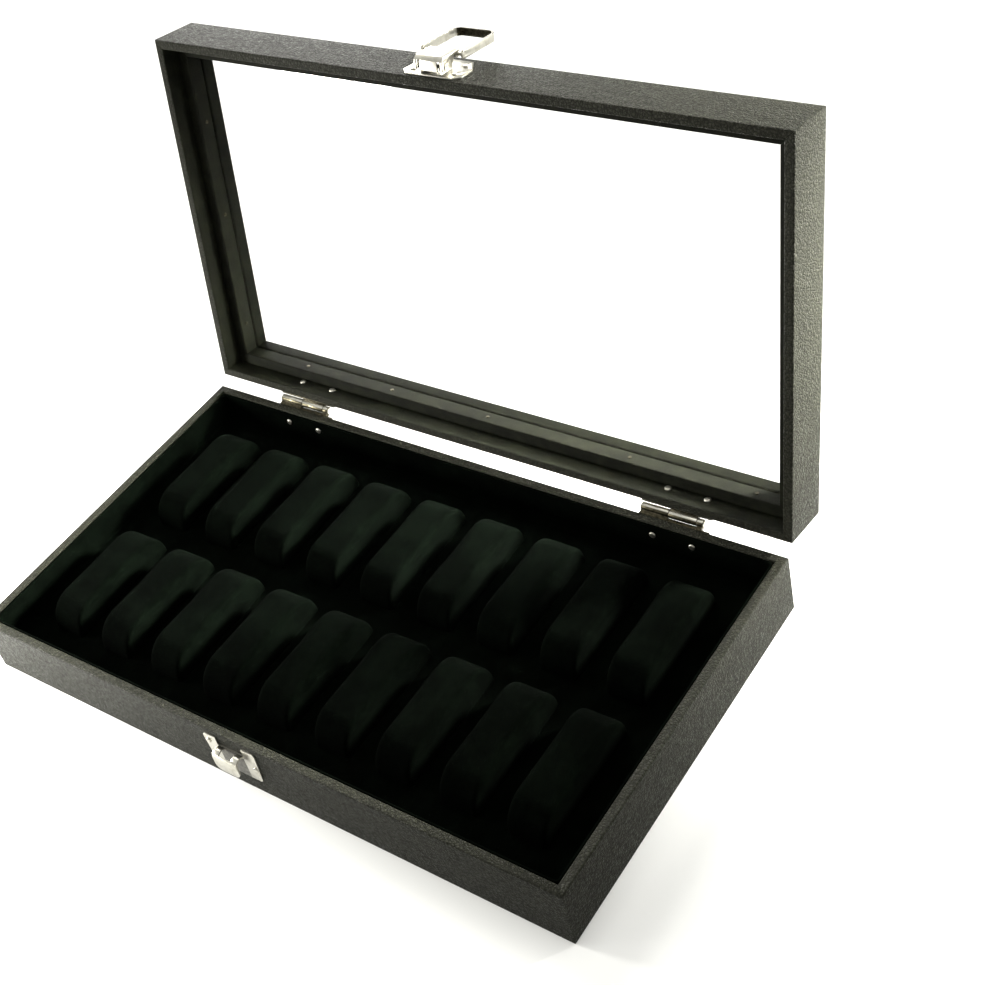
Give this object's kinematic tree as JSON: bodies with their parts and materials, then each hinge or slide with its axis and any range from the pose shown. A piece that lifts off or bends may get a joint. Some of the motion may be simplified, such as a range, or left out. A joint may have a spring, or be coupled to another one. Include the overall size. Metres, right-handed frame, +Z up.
{
  "type": "watch display box",
  "caption": "Shallow leatherette display box with a hinged glass lid, a front draw latch and rows of velvet humps for wristwatches.",
  "frame": {"origin": "centre of the case's underside", "axes": "+X along the case to the right seen from the front, +Y from the catch at the front to the hinges at the back, +Z up"},
  "size_m": [0.375, 0.3052, 0.2558],
  "materials": {
    "leatherette": "black pebble-grained leatherette, semi-gloss",
    "velvet": "short black velvet pile",
    "nickel_plate": "thin bright nickel plate on pressed steel",
    "glass": "clear float glass",
    "raw_board": "brown hardboard and softwood battens",
    "backing_sheet": "plain black backing sheet"
  },
  "bodies": {
    "base": {"arch_back_1": "velvet", "arch_back_2": "velvet", "arch_back_3": "velvet", "arch_back_4": "velvet", "arch_back_5": "velvet", "arch_back_6": "velvet", "arch_back_7": "velvet", "arch_back_8": "velvet", "arch_back_9": "velvet", "arch_front_1": "velvet", "arch_front_2": "velvet", "arch_front_3": "velvet", "arch_front_4": "velvet", "arch_front_5": "velvet", "arch_front_6": "velvet", "arch_front_7": "velvet", "arch_front_8": "velvet", "arch_front_9": "velvet", "base_rail_back": "leatherette", "base_rail_front": "leatherette", "base_rail_left": "leatherette", "base_rail_right": "leatherette", "bottom_panel": "raw_board", "hinge_base_rivets": "nickel_plate", "hinge_left_base_leaf": "nickel_plate", "hinge_left_pin": "nickel_plate", "hinge_right_base_leaf": "nickel_plate", "hinge_right_pin": "nickel_plate", "keeper_plate": "nickel_plate", "keeper_rivets": "nickel_plate", "tray_bearers": "raw_board", "tray_floor": "velvet", "underside_cover": "backing_sheet", "wall_liner_back": "velvet", "wall_liner_front": "velvet", "wall_liner_left": "velvet", "wall_liner_right": "velvet"},
    "lid": {"glass": "glass", "hinge_left_lid_leaf": "nickel_plate", "hinge_lid_rivets": "nickel_plate", "hinge_right_lid_leaf": "nickel_plate", "latch_pivot_pin": "nickel_plate", "latch_plate": "nickel_plate", "latch_rivets": "nickel_plate", "lid_rail_back": "leatherette", "lid_rail_front": "leatherette", "lid_rail_left": "leatherette", "lid_rail_right": "leatherette", "retaining_strip_back": "leatherette", "retaining_strip_front": "leatherette", "retaining_strip_left": "leatherette", "retaining_strip_right": "leatherette", "strip_brads": "nickel_plate"},
    "latch_lever": {"latch_lever": "nickel_plate"},
    "latch_bail": {"latch_bail": "nickel_plate", "bail_pin": "nickel_plate"}
  },
  "joints": [
    {"name": "lid_hinge", "type": "hinge", "parent": "base", "child": "lid", "pos_m": [0, 0.1091, 0.0369], "axis": [1, 0, 0], "range_deg": [0, 100.6]},
    {"name": "latch_lever", "type": "hinge", "parent": "lid", "child": "latch_lever", "pos_m": [-0.003, 0.15458, 0.25058], "axis": [1, 0, 0], "range_deg": [0, 95]},
    {"name": "latch_bail", "type": "hinge", "parent": "latch_lever", "child": "latch_bail", "pos_m": [-0.003, 0.16561, 0.25187], "axis": [-1, 0, 0], "range_deg": [-95, 0]}
  ]
}
